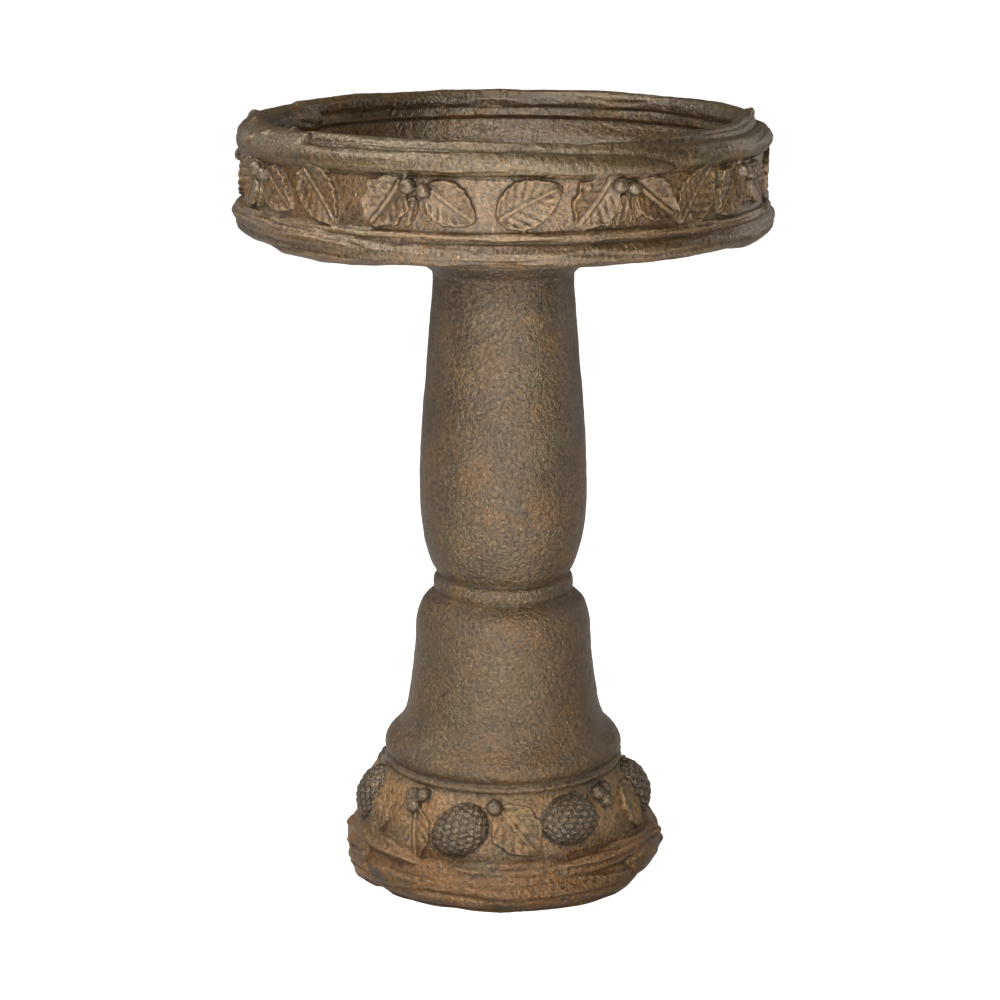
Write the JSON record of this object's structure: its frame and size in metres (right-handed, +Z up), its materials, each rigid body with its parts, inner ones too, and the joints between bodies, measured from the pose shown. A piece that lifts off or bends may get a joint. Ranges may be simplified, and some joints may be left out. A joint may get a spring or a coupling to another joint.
{
  "type": "bird bath",
  "caption": "Cast-stone garden bird bath: a round basin with a leaf and berry frieze that lifts off a hollow vase-shaped pedestal with a pinecone foot.",
  "frame": {"origin": "on the ground, on the vertical axis of the pedestal and the basin", "axes": "+Z up along the axis of the pedestal; -Y faces the viewer's front, which has no functional difference from the other sides"},
  "size_m": [0.436, 0.436, 0.6298],
  "materials": {
    "basin_stone": "satin",
    "pedestal_stone": "satin",
    "pad_rubber": "matte"
  },
  "bodies": {
    "pedestal": {"pedestal": "pedestal_stone", "seat_pad_1": "pad_rubber", "seat_pad_2": "pad_rubber", "seat_pad_3": "pad_rubber"},
    "basin": {"basin": "basin_stone"}
  },
  "joints": [
    {"name": "basin_lift", "type": "slide", "parent": "pedestal", "child": "basin", "axis": [0, 0, 1], "range_m": [0, 0.12]}
  ]
}
